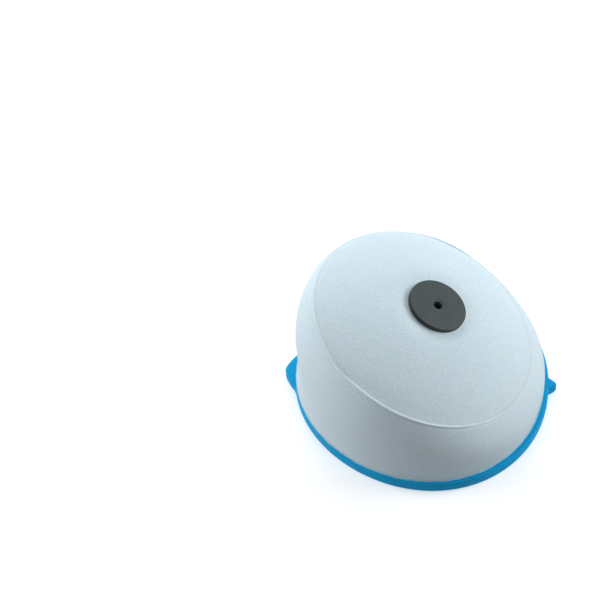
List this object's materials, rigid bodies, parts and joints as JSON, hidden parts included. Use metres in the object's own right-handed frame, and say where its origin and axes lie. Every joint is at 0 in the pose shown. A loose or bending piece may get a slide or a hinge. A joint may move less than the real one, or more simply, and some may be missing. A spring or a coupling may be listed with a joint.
{
  "type": "foam air filter element",
  "caption": "Round foam air filter element with a soft sealing flange, a sloping domed crown and a clamped washer and bush for one bolt.",
  "frame": {"origin": "centre of the mouth on the sealing face, the flat underside of the flange", "axes": "+Z along the mouth's axis from the sealing face towards the crown, +X towards the short side of the wall and the small ear, -X towards the tall side and the large ear"},
  "size_m": [0.2044, 0.1903, 0.1146],
  "materials": {
    "flange_foam": "soft skinned closed-cell foam",
    "coarse_foam": "coarse open-cell foam, matt",
    "fine_foam": "fine open-cell foam, matt",
    "glue_white": "cured flexible glue, satin",
    "glue_blue": "cured flexible glue, satin",
    "glue_clear": "cured flexible glue, satin",
    "washer_plastic": "moulded, fine matt grain",
    "bush_plastic": "moulded, fine matt grain"
  },
  "bodies": {
    "root": {"sealing_flange": "flange_foam", "base_bond": "glue_clear", "outer_side_foam": "coarse_foam", "outer_crown_foam": "coarse_foam", "outer_seam_bead": "glue_white", "inner_side_foam": "fine_foam", "inner_crown_foam": "fine_foam", "inner_seam_bead": "glue_blue", "outer_washer": "washer_plastic", "inner_bush": "bush_plastic"}
  },
  "joints": []
}
